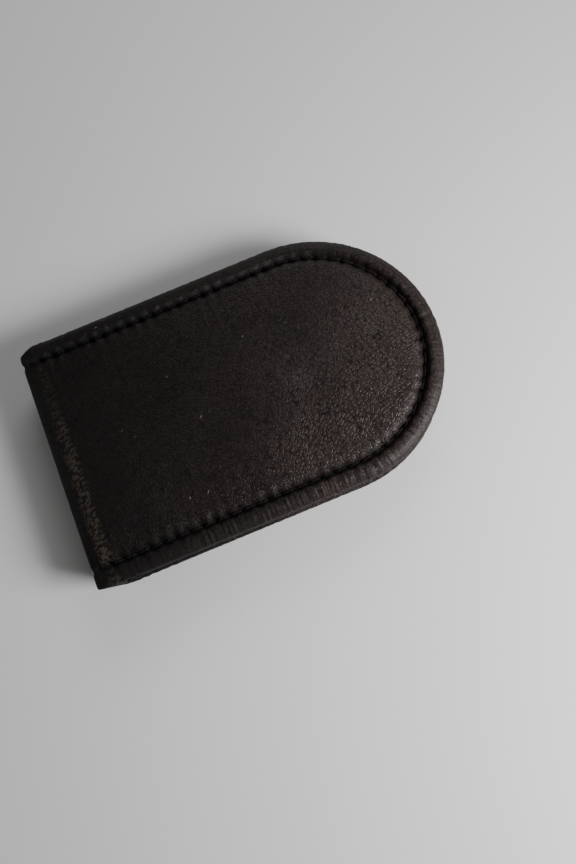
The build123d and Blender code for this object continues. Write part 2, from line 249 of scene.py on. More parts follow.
class Recipe:
    """Builds one node tree, of a material or of geometry."""

    def __init__(self, tree):
        self.tree = tree
        tree.nodes.clear()

    def add(self, kind, settings=None, inputs=None):
        """Adds a node: its settings first, then its sockets' values or links. Gives its first output."""
        node = self.tree.nodes.new(kind)
        for key, value in (settings or {}).items():
            if key == "stops":
                self.set_stops(node.color_ramp, value)
            else:
                setattr(node, key, value)
        for key, value in (inputs or {}).items():
            socket = self.find(node, key)
            if isinstance(value, Socket):
                self.tree.links.new(value.socket, socket)
            else:
                socket.default_value = value
        return Socket(self, next((s for s in node.outputs if s.enabled), None))

    @staticmethod
    def find(node, key):
        if isinstance(key, int):
            return node.inputs[key]
        return next(s for s in node.inputs if s.enabled and key in (s.identifier, s.name))

    @staticmethod
    def set_stops(ramp, stops):
        while len(ramp.elements) < len(stops):
            ramp.elements.new(1.0)
        for element, (position, shade) in zip(ramp.elements, stops):
            element.position = position
            element.color = (*shade, 1.0)

    # Short forms for what the materials use again and again.
    def mix(self, factor, first, second):
        """A colour between two colours."""
        inputs = {"Factor_Float": factor, "A_Color": first, "B_Color": second}
        return self.add("ShaderNodeMix", {"data_type": "RGBA"}, inputs)

    def spread(self, value, low, high):
        """A value's range from low to high, smoothly mapped to 0 to 1 and held at its ends."""
        inputs = {"Value": value, "From Min": low, "From Max": high}
        return self.add("ShaderNodeMapRange", {"interpolation_type": "SMOOTHSTEP"}, inputs)

    def noise(self, place, scale, detail=2.0, roughness=0.5):
        inputs = {"Vector": place, "Scale": scale, "Detail": detail, "Roughness": roughness}
        return self.add("ShaderNodeTexNoise", {}, inputs)

    def cells(self, place, scale, feature="DISTANCE_TO_EDGE"):
        return self.add("ShaderNodeTexVoronoi", {"feature": feature}, {"Vector": place, "Scale": scale})

    def attribute(self, name):
        """A number stored on the piece's points."""
        return self.add("ShaderNodeAttribute", {"attribute_name": name}).other("Fac")

    def place(self, turn=0.0, stretch=1.0, source=None):
        """Coordinates, the piece's own by default, with patterns drawn out along a turned direction."""
        inputs = {"Rotation": (0, 0, turn), "Scale": (stretch, 1.0, 1.0)}
        inputs["Vector"] = source or self.add("ShaderNodeTexCoord").other("Object")
        return self.add("ShaderNodeMapping", {"vector_type": "TEXTURE"}, inputs)

    def shift(self, place, scale, reach):
        """Coordinates pushed about by noise, so that a pattern isn't too even."""
        drift = self.noise(place, scale).other("Color")
        centred = self.add("ShaderNodeVectorMath", {"operation": "SUBTRACT"}, {0: drift, 1: (0.5, 0.5, 0.5)})
        scaled = self.add("ShaderNodeVectorMath", {"operation": "SCALE"}, {0: centred, "Scale": reach})
        return self.add("ShaderNodeVectorMath", {"operation": "ADD"}, {0: place, 1: scaled})

    def surface(self, height, relief, **sockets):
        """The finished surface, with a bump of so many metres for heights from 0 to 1."""
        bump = self.add("ShaderNodeBump", {}, {"Strength": 1.0, "Distance": relief, "Height": height})
        inputs = {key.replace("_", " "): value for key, value in sockets.items()}
        shader = self.add("ShaderNodeBsdfPrincipled", {}, {**inputs, "Normal": bump})
        self.add("ShaderNodeOutputMaterial", {}, {"Surface": shader})


def new_material(name):
    made = bpy.data.materials.new(name)
    made.use_nodes = True
    return made, Recipe(made.node_tree)


def rgba(value):
    return (*value, 1.0)


def along_and_across(recipe, place):
    """The first two numbers of coordinates."""
    apart = recipe.add("ShaderNodeSeparateXYZ", {}, {"Vector": place})
    return apart.other("X"), apart.other("Y")


def leather_material(name, finishes, grain_turn, coarse_and_sheen_share):
    """Near-black nappa: pebbled grain, coarser towards one corner, with painted light towards that corner and
    the tip, painted shade towards the fold, in the furrows and in the seam's groove, and wear, wrinkles and
    rare scuffs.
    """
    material, recipe = new_material(name)
    plain = recipe.place()
    fold, edge, seam, rim = (recipe.attribute(mask) for mask in ("fold", "edge", "seam", "rim"))
    x, y = along_and_across(recipe, plain)
    hide = recipe.shift(plain, 38.0, 9.0 * MM)
    pebbles = recipe.shift(recipe.place(grain_turn - 0.15, 1.9, hide), 520.0, 0.5 * MM)
    streaks = recipe.shift(recipe.place(grain_turn, 1.9, hide), 600.0, 0.35 * MM)

    # The relief: large and small cells, pores, creases along the fold and ribs across the rim.
    coarse = recipe.spread(recipe.cells(pebbles, PEBBLES), 0.01, 0.2)
    fine = recipe.spread(recipe.cells(streaks, FINE_GRAIN), 0.0, 0.26)
    slant = x * 18.0 - y * 16.0 + recipe.noise(plain, 90.0) * 0.9
    coarseness_and_sheen = recipe.spread(slant, 0.2, 1.1) * coarse_and_sheen_share
    weight = coarseness_and_sheen * 0.5 + 0.3
    cells = fine * (1.0 - weight) + coarse * weight
    pores = recipe.spread(recipe.noise(plain, PORES, 1.0), 0.34, 0.6)
    slow = recipe.noise(plain, UNEVENNESS, 3.0)
    strands = recipe.noise(recipe.shift(recipe.place(0.5, 2.0), 900.0, 0.25 * MM), STRANDS, 2.0)
    rim_place = {"X": recipe.attribute("along"), "Y": recipe.attribute("inset") * 0.12}
    ribs = recipe.noise(recipe.add("ShaderNodeCombineXYZ", {}, rim_place), RIBS, 1.0) * rim
    height = cells * (1.0 - edge * 0.8) * (coarseness_and_sheen * 0.12 + 0.38) + pores * 0.1 + slow * 0.6
    height = height + strands * fold * 0.9 + ribs * (coarseness_and_sheen * 1.4 + 0.8)

    # The colour: darkest in the furrows, partly their own colour and partly painted shade; painted light
    # towards the tip and the coarse corner, painted shade towards the fold; darker on the rim.
    clouds = recipe.noise(plain, CLOUDS, 4.0, 0.6)
    tuft = recipe.spread(recipe.noise(streaks, 1500.0, 2.0), 0.36, 0.66)
    pebbled = coarse * (fine * (1.0 - coarseness_and_sheen * 0.5) + coarseness_and_sheen * 0.5)
    slits = (1.0 - pebbled) * (1.0 - tuft * 0.4)
    towards_tip = recipe.spread(x, -0.036, 0.012)
    # Painted light, lighter towards the tip and towards the coarse corner, and painted shade, darker towards
    # the fold.
    tone = (1.0 - slits) * (clouds * 0.4 + coarseness_and_sheen * 0.7 + 0.42) * (towards_tip * 0.55 + 0.45)
    tone = tone * (1.0 - rim * 0.22)
    body = recipe.mix(tone, rgba(finishes.leather_deep), rgba(finishes.leather))

    # The wear: a rubbed band beside the fold, more of it where a thumb holds the clip.
    rub = recipe.spread(recipe.noise(plain, RUBBING, 3.0, 0.6), 0.42, 0.7)
    lines = recipe.spread(strands, 0.43, 0.55)
    handled = 1.0 - recipe.spread(y, -0.010, 0.018) * 0.5
    patchy = recipe.noise(plain, 260.0, 2.0) * 0.9 + 0.6
    band = recipe.spread(fold * (1.0 - fold), 0.02, 0.27) * handled * patchy * (1.0 - rim * 0.5)
    wear = recipe.spread(band * lines * 1.15 + edge * 0.1 + clouds * 0.25 + rub * 0.25, 0.42, 1.35)
    worn = recipe.mix(wear * 0.9, body, rgba(finishes.leather_worn))
    # Painted shade in the seam's groove: the furrows' near-black laid along it.
    shade = recipe.mix(seam * 0.85, worn, rgba(finishes.leather_deep))
    flecks = recipe.spread(recipe.noise(recipe.place(0.7, 2.2), SCRATCHES, 1.0), 0.735, 0.77)
    scuffed = flecks * recipe.spread(recipe.noise(plain, 120.0, 1.0), 0.54, 0.66) * (1.0 - seam)
    final = recipe.mix(scuffed * 0.45, shade, rgba(finishes.scuff))
    dullness = 0.5 - cells * 0.1 - coarseness_and_sheen * 0.07 + clouds * 0.08 + edge * 0.1 + seam * 0.25
    recipe.surface(height, 0.13 * MM, Base_Color=final, Roughness=dullness, Specular_IOR_Level=0.26)
    return material


def thread_material(finishes):
    """Black waxed polyester: fine fibres along the plies."""
    material, recipe = new_material("sewing_thread_finish")
    fibres = recipe.noise(recipe.shift(recipe.place(), 3000.0, 0.2 * MM), 9000.0, 2.0)
    dust = recipe.noise(recipe.place(), 900.0, 2.0)
    dusty = recipe.spread(fibres + dust * 0.4, 0.5, 1.1) * 0.4
    tone = recipe.mix(dusty, rgba(finishes.thread), rgba(finishes.leather))
    recipe.surface(fibres, 0.03 * MM, Base_Color=tone, Roughness=0.55 + dust * 0.25, Specular_IOR_Level=0.17)
    return material


def board_material(finishes):
    """Bonded leather fibre, mottled and rough."""
    material, recipe = new_material("stiffener_board_finish")
    fibres = recipe.noise(recipe.place(0.3, 3.0), 2700.0, 5.0, 0.7)
    specks = recipe.spread(recipe.noise(recipe.place(), 2400.0), 0.55, 0.75)
    pale = tuple(min(1.0, 1.9 * part) for part in finishes.board)
    tone = recipe.mix(fibres * 0.7 + specks * 0.3, rgba(finishes.board), rgba(pale))
    recipe.surface(fibres, 0.1 * MM, Base_Color=tone, Roughness=0.8 + fibres * 0.15)
    return material


def foam_material(finishes):
    """Closed-cell foam with small round cells."""
    material, recipe = new_material("pad_foam_finish")
    cells = recipe.cells(recipe.place(), 1500.0, "F1")
    pale = tuple(2.2 * part for part in finishes.foam)
    tone = recipe.mix(recipe.spread(cells, 0.1, 0.7), rgba(finishes.foam), rgba(pale))
    recipe.surface(1.0 - cells, 0.15 * MM, Base_Color=tone, Roughness=0.85 + cells * 0.1)
    return material


def plating_material(finishes):
    """Nickel plating with faint handling marks."""
    material, recipe = new_material("magnet_plating_finish")
    marks = recipe.noise(recipe.place(0.4, 9.0), 6000.0, 4.0)
    clouds = recipe.noise(recipe.place(), 260.0, 3.0)
    dim = tuple(0.8 * part for part in finishes.plating)
    tone = recipe.mix(clouds, rgba(finishes.plating), rgba(dim))
    dullness = 0.2 + marks * 0.16 + clouds * 0.1
    recipe.surface(marks, 0.01 * MM, Base_Color=tone, Metallic=1.0, Roughness=dullness)
    return material


def tape_material(finishes):
    """Plain-woven cotton tape."""
    material, recipe = new_material("cloth_tape_finish")
    x, y = along_and_across(recipe, recipe.place())
    turns = 2.0 * math.pi / (0.55 * MM)  # one for each pair of threads
    weave = (x * turns).math("SINE") * (y * turns).math("SINE")
    raised = weave * 0.5 + 0.5
    lint = recipe.noise(recipe.place(), 3000.0, 3.0)
    dim = tuple(0.72 * part for part in finishes.tape)
    tone = recipe.mix(raised * 0.7 + lint * 0.3, rgba(dim), rgba(finishes.tape))
    recipe.surface(raised + lint * 0.3, 0.07 * MM, Base_Color=tone, Roughness=0.86 + lint * 0.1)
    return material


def floor_material(finishes):
    """Plain pale matt floor."""
    material, recipe = new_material("floor_finish")
    mottle = recipe.noise(recipe.place(), 14.0, 3.0)
    dim = tuple(0.985 * part for part in finishes.floor)
    tone = recipe.mix(mottle, rgba(dim), rgba(finishes.floor))
    recipe.surface(mottle, 0.05 * MM, Base_Color=tone, Roughness=0.7 + mottle * 0.1, Specular_IOR_Level=0.2)
    return material


def material_once(name, make, *values):
    """The material of that name, made the first time it is asked for."""
    return bpy.data.materials.get(name) or make(*values)


# ---- shapes ----------------------------------------------------------------------------------


def ease(low, high, value):
    """0 below low, 1 above high, and a smooth step between them."""
    t = np.clip((value - low) / (high - low), 0.0, 1.0)
    return t * t * (3.0 - 2.0 * t)


def rises(value, run, power):
    """From 0 to 1 over run, steepest at its start."""
    return 1.0 - (1.0 - np.clip(value / run, 0.0, 1.0)) ** power


def ripple(points, scale, offset):
    """Smooth noise between about -1 and 1 at each point, with features of about the given size."""
    flat = points.reshape(-1, 3) / scale + offset
    return np.array([noise.noise(Vector(p)) for p in flat]).reshape(points.shape[:-1]) * 2.0


def ripple_along(values, offset):
    """Smooth noise along a line, with features of about 1."""
    still = np.zeros(values.shape)
    return ripple(np.stack([values, still, still], axis=-1), 1.0, offset)


def trough(insets, middle, width):
    """1 at a line at its inset, and falling off smoothly on both sides."""
    return np.exp(-(((insets - middle) / width) ** 2))


class Flap:
    """A flap's places, read from the frame."""

    def __init__(self, name, crease_name, outwards):
        lining_low, lining_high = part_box(f"{name}_lining")
        cover_low, cover_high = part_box(f"{name}_cover")
        needle_low, needle_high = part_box(f"{name}_needle_stitches")
        crease = next(j for j in frame["joints"] if j["name"] == crease_name)["pos_m"]
        self.name = name
        self.outwards = outwards
        self.inner_z = lining_low.z if outwards > 0 else lining_high.z
        self.crease = Vector(crease)
        self.crease_height = (crease[2] - self.inner_z) * outwards
        self.bend_radius = fold_radius()
        self.rim = self.crease_height + self.bend_radius
        self.crown = (cover_high.z if outwards > 0 else cover_low.z) - self.inner_z
        self.crown *= outwards
        self.layer = ((cover_low.z if outwards > 0 else cover_high.z) - self.inner_z) * outwards
        self.tip_x = cover_high.x
        self.half_width = cover_high.y
        self.round_x = self.tip_x - self.half_width
        self.first_stitch_end = needle_low.x - crease[0]
        self.seam_inset = self.half_width - needle_high.y + (needle_high.z - needle_low.z) / 2

    def place(self, x, y, height):
        """Points in the row's frame from places along, across and over the inner face."""
        return np.stack([x, y, self.inner_z + self.outwards * height], axis=-1)


def fold_radius():
    """Half the thickness of the two leathers that bend at a crease."""
    crease = next(j for j in frame["joints"] if j["name"] == "upper_crease")["pos_m"]
    return crease[0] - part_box("spine_cover")[0].x


class Seam:
    """The line of stitches round a flap: even stitches from one crease round the tip to the other."""

    def __init__(self, flap, sewing):
        self.flap = flap
        self.radius = flap.half_width - flap.seam_inset
        self.straight = flap.round_x - flap.crease.x
        self.length = 2 * self.straight + math.pi * self.radius
        self.first = flap.first_stitch_end + sewing.cad_length / 2
        sewn = self.length - 2 * self.first
        self.count = round(sewn / sewing.pitch)
        self.step = sewn / self.count

    def stations(self, along):
        """For places along the seam: the point on the flap's middle that it faces, and the way out."""
        along = np.asarray(along, float)
        turn = np.clip((along - self.straight) / self.radius, 0.0, math.pi) - math.pi / 2
        before = np.minimum(along, self.straight)
        after = np.minimum(self.length - along, self.straight)
        base_x = self.flap.crease.x + np.minimum(before, after)
        return base_x, np.cos(turn), np.sin(turn)

    def phase(self, along):
        """0 at the middle of a stitch, pi at a needle hole, and so on round."""
        return (along - self.first) / self.step * 2.0 * math.pi


def column_places(seam, per_stitch):
    """Places along the seam for a mesh's columns, the same on both sides of the clip."""
    spacing = seam.step / per_stitch
    side = np.linspace(0.0, seam.straight, round(seam.straight / spacing) + 1)
    bend = np.linspace(seam.straight, seam.length / 2, round((seam.length / 2 - seam.straight) / spacing) + 1)
    half = np.concatenate([side, bend[1:]])
    return np.concatenate([half, seam.length - half[-2::-1]])


def pull(phase):
    """The thread's pull along the seam: about 1 at a stitch's middle, -1 at a hole, never twice alike."""
    stitches = phase / (2.0 * math.pi)
    return np.cos(phase) * np.clip(0.75 + 0.8 * ripple_along(stitches * 0.83, 41.3), 0.1, 1.5)


def crown_swell(flap, sizes, inset, phase):
    """How high the padded crown stands over the rim, away from the fold."""
    foot = flap.seam_inset + sizes.crown_start - sizes.scallop * pull(phase) * 0.5
    inward = inset - foot
    rise = flap.crown - flap.rim
    shoulder = sizes.shoulder_share * rises(inward, sizes.shoulder_run, 2.4)
    broad = (1.0 - sizes.shoulder_share) * rises(inward, flap.half_width - flap.seam_inset, 3.2)
    return rise * (shoulder + broad)


def seam_groove(flap, sizes, inset, phase):
    """Depth of the groove along the seam, deeper at each needle hole, most on its inner side."""
    middle = flap.seam_inset + sizes.slant * np.sin(phase)
    uneven = sizes.pucker * pull(phase) * np.where(inset < flap.seam_inset, 0.45, 1.0)
    return sizes.groove_depth * trough(inset, middle, sizes.groove_width) * (1.0 - uneven)


def rim_dome(flap, sizes, inset):
    """The gentle swell of the rim between its edge and the seam."""
    return sizes.rim_dome * np.sin(math.pi * np.clip(inset / flap.seam_inset, 0.0, 1.0) ** 1.4)


def drawn_in(sizes, flap, from_fold, insets, side):
    """How far the rim's points draw in at a distance from the fold: a rounded corner, and a still seam."""
    before_bend = 1.0 - np.clip((from_fold - flap.bend_radius) / sizes.corner_run, 0.0, 1.0)
    in_bend = 1.0 - np.clip(from_fold / flap.bend_radius, 0.0, 1.0)
    rounded = sizes.corner * before_bend**2.2 + sizes.bend_corner * in_bend**2
    rounded = rounded * np.where(side > 0, 1.0, sizes.square_corner)
    return rounded * (1.0 - ease(0.0, 0.95 * flap.seam_inset, insets))


def masks(flap, sizes, inset, from_crease, along):
    """How much each point belongs to the fold, edge, seam and rim, and its place along and across the rim."""
    return {
        "fold": 1.0 - ease(0.0, sizes.fold_run, from_crease),
        "edge": 1.0 - ease(0.3 * flap.seam_inset, flap.seam_inset, inset),
        "seam": trough(inset, flap.seam_inset, 1.2 * sizes.groove_width),
        "rim": 1.0 - ease(0.7 * flap.seam_inset, 1.1 * flap.seam_inset, inset),
        "along": along,
        "inset": inset,
    }


def inset_rows(flap):
    """Insets of a mesh's rows from the flap's middle out to its rolled edge, closest at the seam."""
    seam = flap.seam_inset
    inner = flap.half_width - (flap.half_width - seam - 4.4 * MM) * np.linspace(0.0, 1.0, 14) ** 0.9
    shoulder = seam + np.linspace(4.0, 0.95, 11) * MM
    groove = seam + np.linspace(0.82, -0.82, 15) * MM
    rim = np.linspace(seam - 1.0 * MM, 1.1 * MM, 8)
    return np.concatenate([inner, shoulder, groove, rim])


def edge_roll(top, bottom, steps, width):
    """Rows round a rolled edge, from its top to its bottom: inset and height. Its upper half is so wide."""
    radius = (top - bottom) / 2
    angles = np.linspace(math.radians(70), -math.pi / 2, steps)
    inset = np.where(angles > 0, width, radius) * (1.0 - np.cos(angles))
    return inset, (top + bottom) / 2 + radius * np.sin(angles)


def hidden_rows(flap, sizes, count):
    """Insets of a leather's rows over its turned edge, and of so many further in."""
    over_turning = np.array([1.1, 2.6, 4.2, 5.7]) * MM
    inner = np.linspace(sizes.turning + 1.0 * MM, flap.half_width, count)
    return over_turning, np.concatenate([[sizes.turning + 0.2 * MM], inner])


def skin(name, points, marks, closed):
    """A mesh over a grid of points, closed along its rows if asked, with its ends filled."""
    columns, rows = points.shape[:2]
    index = np.arange(columns * rows).reshape(columns, rows)
    if closed:
        index = np.concatenate([index, index[:, :1]], axis=1)
    quads = np.stack([index[:-1, :-1], index[1:, :-1], index[1:, 1:], index[:-1, 1:]], axis=-1).reshape(-1, 4)
    mesh = bpy.data.meshes.new(name)
    mesh.from_pydata(points.reshape(-1, 3).tolist(), [], quads.tolist())
    for key, values in marks.items():
        layer = mesh.attributes.new(key, "FLOAT", "POINT")
        layer.data.foreach_set("value", np.broadcast_to(values, (columns, rows)).astype(np.float32).ravel())
    tidy = bmesh.new()
    tidy.from_mesh(mesh)
    bmesh.ops.remove_doubles(tidy, verts=tidy.verts, dist=0.002 * MM)
    bmesh.ops.dissolve_degenerate(tidy, edges=tidy.edges, dist=0.0005 * MM)
    bmesh.ops.holes_fill(tidy, edges=[e for e in tidy.edges if e.is_boundary], sides=0)
    bmesh.ops.triangulate(tidy, faces=[f for f in tidy.faces if len(f.verts) > 4])
    bmesh.ops.recalc_face_normals(tidy, faces=tidy.faces)
    tidy.to_mesh(mesh)
    tidy.free()
    mesh.polygons.foreach_set("use_smooth", [True] * len(mesh.polygons))
    mesh.set_sharp_from_angle(angle=math.radians(55))
    return new_object(name, mesh)


def new_object(name, data):
    """An object in the scene."""
    made = bpy.data.objects.new(name, data)
    bpy.context.scene.collection.objects.link(made)
    return made


def finish_piece(piece, material, body, node):
    """Gives a piece its material and body, and lets it stand for its CAD node."""
    piece.data.materials.clear()
    piece.data.materials.append(material)
    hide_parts(node)
    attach(piece, body)


class Columns:
    """The columns of a flap's mesh: round the flap and, at each end, one that dips under the bend's round."""

    def __init__(self, flap, seam):
        along = column_places(seam, COLUMNS_PER_STITCH)
        grid = [np.concatenate([v[:1], v, v[-1:]])[:, None] for v in (along, *seam.stations(along))]
        self.along, self.base_x, self.way_x, self.way_y = grid
        self.count = len(self.along)
        self.hidden = np.zeros((self.count, 1), bool)
        self.hidden[[0, -1]] = True
        self.phase = seam.phase(self.along)
        self.side_run = self.base_x - flap.crease.x
        self.calm = ease(0.2 * MM, 2.2 * MM, self.side_run)
        self.half_width = flap.half_width

    def each(self, rows):
        """The same rows in every column."""
        return np.broadcast_to(rows, (self.count, len(rows)))

    def from_crease(self, insets):
        return self.side_run + self.way_x * (self.half_width - insets)

    def places(self, flap, insets, heights):
        """Points at insets and heights in the columns."""
        reach = self.half_width - insets
        return flap.place(self.base_x + self.way_x * reach, self.way_y * reach, heights)

    def parting(self, sizes):
        """How far the turned edges part the layers: not at all at a crease, fully on the flap."""
        return ease(sizes.ramp_start, sizes.ramp_end, self.side_run + self.way_x * self.half_width)

    def leather(self, name, flap, sizes, insets, heights, slide, sink, marks_of):
        """The mesh of a flap's leather. Its end columns sink under the round of the bend."""
        insets = insets + drawn_in(sizes, flap, self.side_run + flap.bend_radius, insets, self.way_y)
        reach = self.half_width - insets
        x = self.base_x + self.way_x * reach + slide - self.hidden * TUCK
        points = flap.place(x, self.way_y * reach, heights - self.hidden * sink)
        marks = masks(flap, sizes, insets, self.side_run + self.way_x * reach, self.along)
        marks.update(marks_of(marks))
        return skin(name, points, marks, closed=False)


def make_flap_cover(flap, seam, sizes):
    """The crowned outer leather of a flap with its turned edge."""
    ring = Columns(flap, seam)
    rows = inset_rows(flap)
    insets = ring.each(rows)
    from_crease = ring.from_crease(insets)
    on_side = ease(0.0, 3.0 * MM, ring.side_run)
    calm = ring.calm

    # The crown runs tangent into the bend's round: its first points lie on that round.
    swell = crown_swell(flap, sizes, insets, np.where(calm > 0, ring.phase, math.pi / 2))
    plain_groove = sizes.groove_depth * trough(insets, flap.seam_inset, sizes.groove_width)
    groove = plain_groove + (seam_groove(flap, sizes, insets, ring.phase) - plain_groove) * calm
    groove = groove * (sizes.fold_groove + (1.0 - sizes.fold_groove) * calm)
    slope = sizes.fold_slope * np.clip(swell / (flap.crown - flap.rim), 0.0, 1.0)
    radius = flap.bend_radius - plain_groove * sizes.fold_groove
    start_x = -radius * np.sin(slope)
    start_height = flap.crease_height + radius * np.cos(slope)
    full = flap.rim + rim_dome(flap, sizes, insets) * on_side + swell - groove
    slide = start_x * (1.0 - ease(0.0, 3.0 * MM, from_crease)) * (ring.way_x == ring.way_x[0])
    run = from_crease + slide - start_x
    height = start_height + (full - start_height) * rises(run, sizes.fold_run, 2.2)

    # Wrinkles across the rim, most round the tip, wrinkles along the fold, and an uneven padding.
    points = ring.places(flap, insets, height)
    from_seam = np.abs(insets - flap.seam_inset)
    inside = insets > flap.seam_inset
    near_seam = np.exp(-from_seam / np.where(inside, 0.9 * MM, 2.6 * MM)) * np.where(inside, 0.45, 1.0)
    across_rim = ripple_along(ring.along / (0.95 * MM), 3.0)
    gathered = 0.35 + 1.05 * ease(0.0, 0.5, ring.way_x)
    height = height + sizes.rim_wrinkle * across_rim * gathered * near_seam * calm
    fold_band = (1.0 - ease(1.0 * MM, 8.0 * MM, from_crease)) * ease(0.0, 0.8 * MM, from_crease)
    height = height + sizes.fold_wrinkle * fold_band * ripple(points * [0.45, 1.6, 1.0], 1.1 * MM, 11.0)
    padding = ease(0.0, 4.0 * MM, insets - flap.seam_inset) * ease(0.0, 6.0 * MM, from_crease)
    height = height + sizes.waviness * padding * (ripple(points, 9.0 * MM, 5.0) - 1.0) * 0.5
    height = np.minimum(height, flap.crown)

    # The rolled edge, then the turned leather and the cover's underside.
    thin_layer = flap.rim - sizes.cover_leather
    layer = thin_layer + (flap.layer - thin_layer) * ring.parting(sizes)
    edge_width = (flap.rim - layer) / 2 * (1.0 - calm) + sizes.edge_width * calm
    roll_inset, roll_height = edge_roll(flap.rim, layer, 15, edge_width)
    upper_half = np.clip((roll_height - (flap.rim + layer) / 2) / (flap.rim - layer) * 2, 0.0, 1.0)
    roll_height = roll_height + rim_dome(flap, sizes, roll_inset) * upper_half * on_side
    swung = np.sin(np.linspace(0.2, math.pi, 15))
    roll_inset = roll_inset - 0.6 * sizes.rim_wrinkle * across_rim * calm * swung
    turned, inner = hidden_rows(flap, sizes, 7)
    order = np.argsort(rows)
    inner_height = np.array([np.interp(inner, rows[order], line[order]) for line in height])

    all_insets = np.concatenate([insets, roll_inset, ring.each(turned), ring.each(inner)], axis=1)
    turned_height = np.broadcast_to(layer, (ring.count, len(turned)))
    all_heights = [height, roll_height, turned_height, inner_height - sizes.cover_leather]
    slide = np.concatenate([slide, np.zeros((ring.count, all_insets.shape[1] - len(rows)))], axis=1)
    unseen = np.arange(all_insets.shape[1]) >= len(rows) + 11
    sink = HAIR + 0.08 * MM * np.sin(sizes.fold_slope)
    return ring.leather(
        f"{flap.name}_flap_cover",
        flap,
        sizes,
        all_insets,
        np.concatenate(all_heights, axis=1),
        slide,
        sink,
        lambda marks: {"edge": marks["edge"] * (1.0 - unseen)},
    )


def make_flap_lining(flap, seam, sizes):
    """The inner leather of a flap with its turned edge."""
    ring = Columns(flap, seam)
    insets = ring.each(inset_rows(flap))
    calm = ring.calm
    thin_layer = flap.rim - sizes.cover_leather
    raised = thin_layer - sizes.lining_leather

    def ramp(insets):
        """How high the lining's inner face lies: up at a crease, where it bends with the cover."""
        return raised * (1.0 - ease(sizes.ramp_start, sizes.ramp_end, ring.from_crease(insets)))

    bottom = ramp(insets)
    plain = sizes.lining_groove * trough(insets, flap.seam_inset, sizes.groove_width)
    groove = plain * (1.0 - sizes.pucker * np.cos(ring.phase) * calm)
    points = ring.places(flap, insets, bottom)
    across_rim = ripple_along(ring.along / (1.05 * MM), 23.0)
    near_seam = np.exp(-np.abs(insets - flap.seam_inset) / (1.3 * MM))
    height = bottom + groove + 0.7 * sizes.rim_wrinkle * across_rim * near_seam * calm
    inside = ease(0.0, 4 * MM, insets - flap.seam_inset)
    height = height + 0.5 * sizes.waviness * (ripple(points, 8.0 * MM, 31.0) + 0.4) * inside
    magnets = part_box(f"{flap.name}_magnets")
    magnet_x = (magnets[0].x + magnets[1].x) / 2
    magnet_y = magnets[1].y - sizes.magnet_radius
    from_magnet = np.hypot(points[..., 0] - magnet_x, np.abs(points[..., 1]) - magnet_y)
    beside_magnet = ease(0.86 * sizes.magnet_radius, 1.12 * sizes.magnet_radius, from_magnet)
    height = height - sizes.magnet_mark * (1.0 - beside_magnet)

    layer = thin_layer + (flap.layer - thin_layer) * ring.parting(sizes)
    low = raised * (1.0 - ring.parting(sizes))
    roll_inset, roll_height = edge_roll(layer, low, 11, (layer - low) / 2)
    swung = np.sin(np.linspace(0.2, math.pi, 11))
    drawn = sizes.lining_edge - 0.5 * sizes.rim_wrinkle * across_rim * swung
    roll_inset = roll_inset[:, ::-1] + drawn * calm
    turned, inner = hidden_rows(flap, sizes, 6)
    turned_height = np.broadcast_to(layer - HAIR, (ring.count, len(turned)))
    all_heights = [height, roll_height[:, ::-1], turned_height, ramp(inner) + sizes.lining_leather]
    return ring.leather(
        f"{flap.name}_flap_lining",
        flap,
        sizes,
        np.concatenate([insets, roll_inset, ring.each(turned), ring.each(inner)], axis=1),
        np.concatenate(all_heights, axis=1),
        0.0,
        -HAIR,
        lambda marks: {"fold": marks["fold"] * 0.15},
    )


class Fold:
    """The spine between the two creases: its line, and the way out from it."""

    def __init__(self, lower, upper):
        self.start = lower.crease
        self.end = upper.crease
        self.length = (self.end - self.start).length
        self.up = (self.end - self.start).normalized()
        self.out = Vector((-self.up.z, 0.0, self.up.x))
        self.half_width = upper.half_width
        self.seam_inset = upper.seam_inset
        self.bend_radius = upper.bend_radius
        # Angles of the outward normal, turned about -Y from straight down.
        self.lower_normal = 0.0
        self.spine_normal = math.atan2(-self.out.x, -self.out.z)
        self.upper_normal = math.pi

    @staticmethod
    def normal(angle):
        """The way out at an angle: 0 is straight down, half a turn is straight up, by way of -X."""
        return Vector((-math.sin(angle), 0.0, -math.cos(angle)))


def fold_rows(fold, top, bottom):
    """Rows of the spine's section: insets of its face, its rolled edge, and insets of its back."""
    radius = (top - bottom) / 2
    angles = np.linspace(math.radians(72), -math.radians(72), 11)
    rolled = (radius * (1.0 - np.cos(angles)), (top + bottom) / 2 + radius * np.sin(angles))
    back = np.array([1.1, 2.2, fold.seam_inset / MM - 0.3, fold.seam_inset / MM + 0.3, 9.0, 16.0]) * MM
    return inset_rows(fold), np.stack(rolled, axis=1), back


def fold_section(fold, sizes, middle, out, from_fold, face, rolled, back):
    """Points all round the spine's section at one place, from its (inset, height) rows."""
    section = []
    for side in (1, -1):
        parts = [back[::-1], rolled[::-1], face[::-1]] if side > 0 else [face[1:], rolled, back]
        run = np.concatenate(parts)
        y = side * (fold.half_width - run[:, 0] - drawn_in(sizes, fold, from_fold, run[:, 0], side))
        section.append(np.array(middle) + out * run[:, 1:2] + np.stack([0 * y, y, 0 * y], axis=1))
    return np.concatenate(section)


def fold_marks(fold, sizes, points, fold_share, shown):
    """The spine's masks."""
    inset = fold.half_width - np.abs(points[..., 1])
    return {
        "fold": np.full(points.shape[:2], fold_share),
        "edge": 1.0 - ease(0.3 * fold.seam_inset, fold.seam_inset, inset),
        "seam": trough(inset, fold.seam_inset, 1.2 * sizes.groove_width) * shown,
    }


